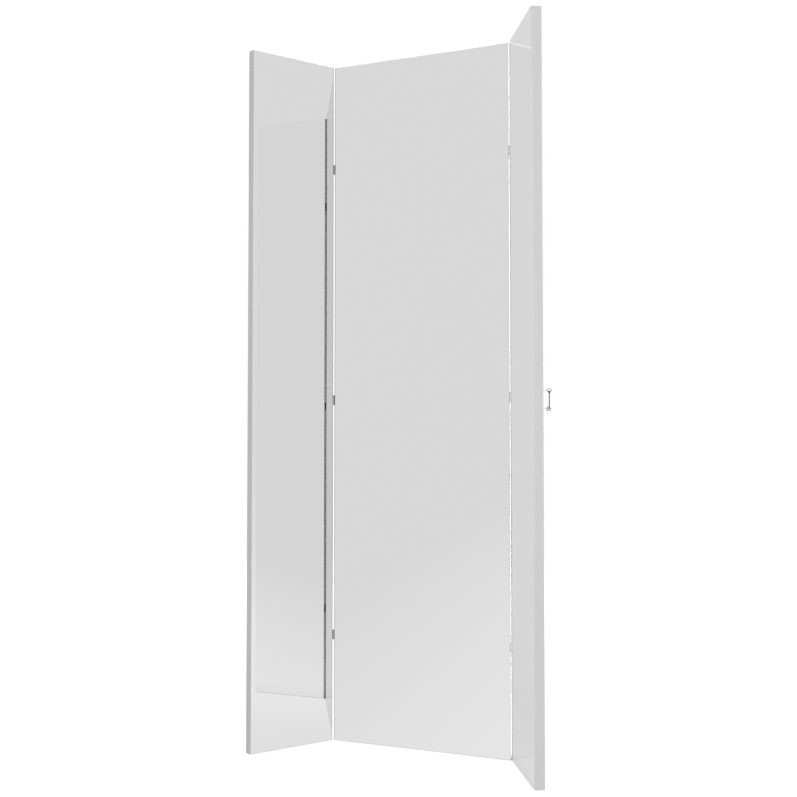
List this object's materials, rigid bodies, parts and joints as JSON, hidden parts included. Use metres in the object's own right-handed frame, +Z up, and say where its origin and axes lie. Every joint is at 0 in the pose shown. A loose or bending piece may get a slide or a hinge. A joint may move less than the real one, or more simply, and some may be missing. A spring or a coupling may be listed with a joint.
{
  "type": "folding room divider screen",
  "caption": "Free-standing folding screen of hinged panels faced with mirror, half-width wings folding over the wide middle, with a wire hook and eye behind the free edges.",
  "frame": {"origin": "centre of the foot of the centre panel, on the floor and at half the panel's thickness", "axes": "+Z up; +X along the centre panel, to the right as seen from the front; the centre mirror faces -Y and both wings come forward towards -Y"},
  "size_m": [0.811, 0.2394, 1.8],
  "materials": {
    "mirror": "polished silvered glass",
    "frame": "satin lacquer over timber",
    "mirror_board": "raw fibreboard",
    "back_board": "painted hardboard",
    "hinge": "dark bronze plate",
    "hinge_pin": "dark steel",
    "screws": "zinc plate",
    "latch": "bright plate"
  },
  "bodies": {
    "centre": {"centre_mirror": "mirror", "centre_mirror_board": "mirror_board", "centre_left_stile": "frame", "centre_right_stile": "frame", "centre_top_rail": "frame", "centre_middle_rail": "frame", "centre_bottom_rail": "frame", "centre_back_board": "back_board", "left_low_hinge_fixed_leaf": "hinge", "left_low_hinge_pin": "hinge_pin", "left_middle_hinge_fixed_leaf": "hinge", "left_middle_hinge_pin": "hinge_pin", "left_top_hinge_fixed_leaf": "hinge", "left_top_hinge_pin": "hinge_pin", "left_hinge_fixed_screws": "screws", "right_low_hinge_fixed_leaf": "hinge", "right_low_hinge_pin": "hinge_pin", "right_middle_hinge_fixed_leaf": "hinge", "right_middle_hinge_pin": "hinge_pin", "right_top_hinge_fixed_leaf": "hinge", "right_top_hinge_pin": "hinge_pin", "right_hinge_fixed_screws": "screws"},
    "left_wing": {"left_mirror": "mirror", "left_mirror_board": "mirror_board", "left_hinge_stile": "frame", "left_free_stile": "frame", "left_top_rail": "frame", "left_middle_rail": "frame", "left_bottom_rail": "frame", "left_back_board": "back_board", "left_low_hinge_moving_leaf": "hinge", "left_middle_hinge_moving_leaf": "hinge", "left_top_hinge_moving_leaf": "hinge", "left_hinge_moving_screws": "screws", "catch_eye": "latch"},
    "right_wing": {"right_mirror": "mirror", "right_mirror_board": "mirror_board", "right_hinge_stile": "frame", "right_free_stile": "frame", "right_top_rail": "frame", "right_middle_rail": "frame", "right_bottom_rail": "frame", "right_back_board": "back_board", "right_low_hinge_moving_leaf": "hinge", "right_middle_hinge_moving_leaf": "hinge", "right_top_hinge_moving_leaf": "hinge", "right_hinge_moving_screws": "screws", "hook_eye": "latch", "rest_eye": "latch"},
    "hook": {"latch_hook": "latch"}
  },
  "joints": [
    {"name": "left_wing_fold", "type": "hinge", "parent": "centre", "child": "left_wing", "pos_m": [-0.247, -0.0142, 0], "axis": [0, 0, 1], "range_deg": [-60, 120]},
    {"name": "right_wing_fold", "type": "hinge", "parent": "centre", "child": "right_wing", "pos_m": [0.247, -0.0142, 0], "axis": [0, 0, -1], "range_deg": [-60, 120]},
    {"name": "hook_swing", "type": "hinge", "parent": "right_wing", "child": "hook", "pos_m": [0.40014, -0.18905, 0.903], "axis": [-0.866, -0.5, 0], "range_deg": [0, 90]}
  ]
}
